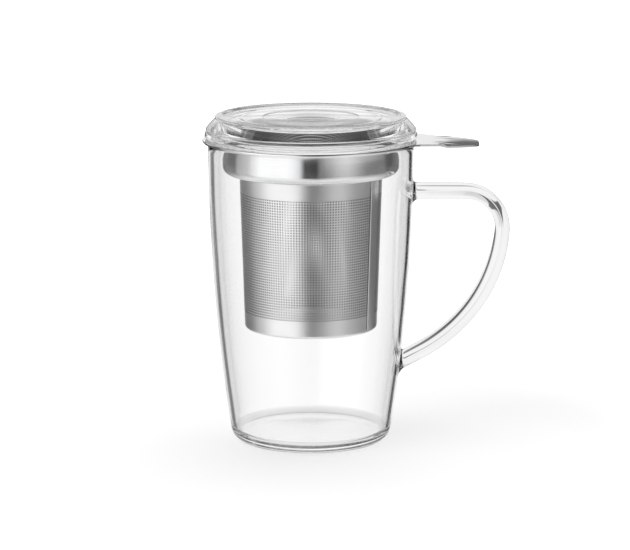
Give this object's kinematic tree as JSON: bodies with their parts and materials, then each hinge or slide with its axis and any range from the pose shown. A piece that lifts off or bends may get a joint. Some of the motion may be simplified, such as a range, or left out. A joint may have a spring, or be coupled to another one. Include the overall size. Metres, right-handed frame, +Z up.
{
  "type": "tea mug",
  "caption": "Tall clear glass mug with a bent-rod handle, a drop-in perforated steel infuser with a finger tab, and a lift-off pressed-glass lid.",
  "frame": {"origin": "on the mug's axis, in the plane it stands on", "axes": "+Z up out of the mouth, +X towards the handle and the infuser's finger tab"},
  "size_m": [0.1241, 0.0872, 0.133],
  "materials": {
    "clear_glass": "clear blown borosilicate glass, fire-polished rim",
    "lid_glass": "clear pressed glass, faint grey-green at thick edges",
    "polished_steel": "polished stainless sheet with fine circular brushing",
    "satin_steel": "satin stainless sheet, etched all over with fine holes"
  },
  "bodies": {
    "mug": {"mug_body": "clear_glass", "mug_handle": "clear_glass"},
    "infuser": {"infuser_collar": "polished_steel", "basket_wall": "satin_steel", "basket_floor": "satin_steel"},
    "lid": {"lid": "lid_glass"}
  },
  "joints": [
    {"name": "infuser_lift", "type": "slide", "parent": "mug", "child": "infuser", "axis": [0, 0, 1], "range_m": [0, 0.085]},
    {"name": "lid_lift", "type": "slide", "parent": "infuser", "child": "lid", "axis": [0, 0, 1], "range_m": [0, 0.03]}
  ]
}
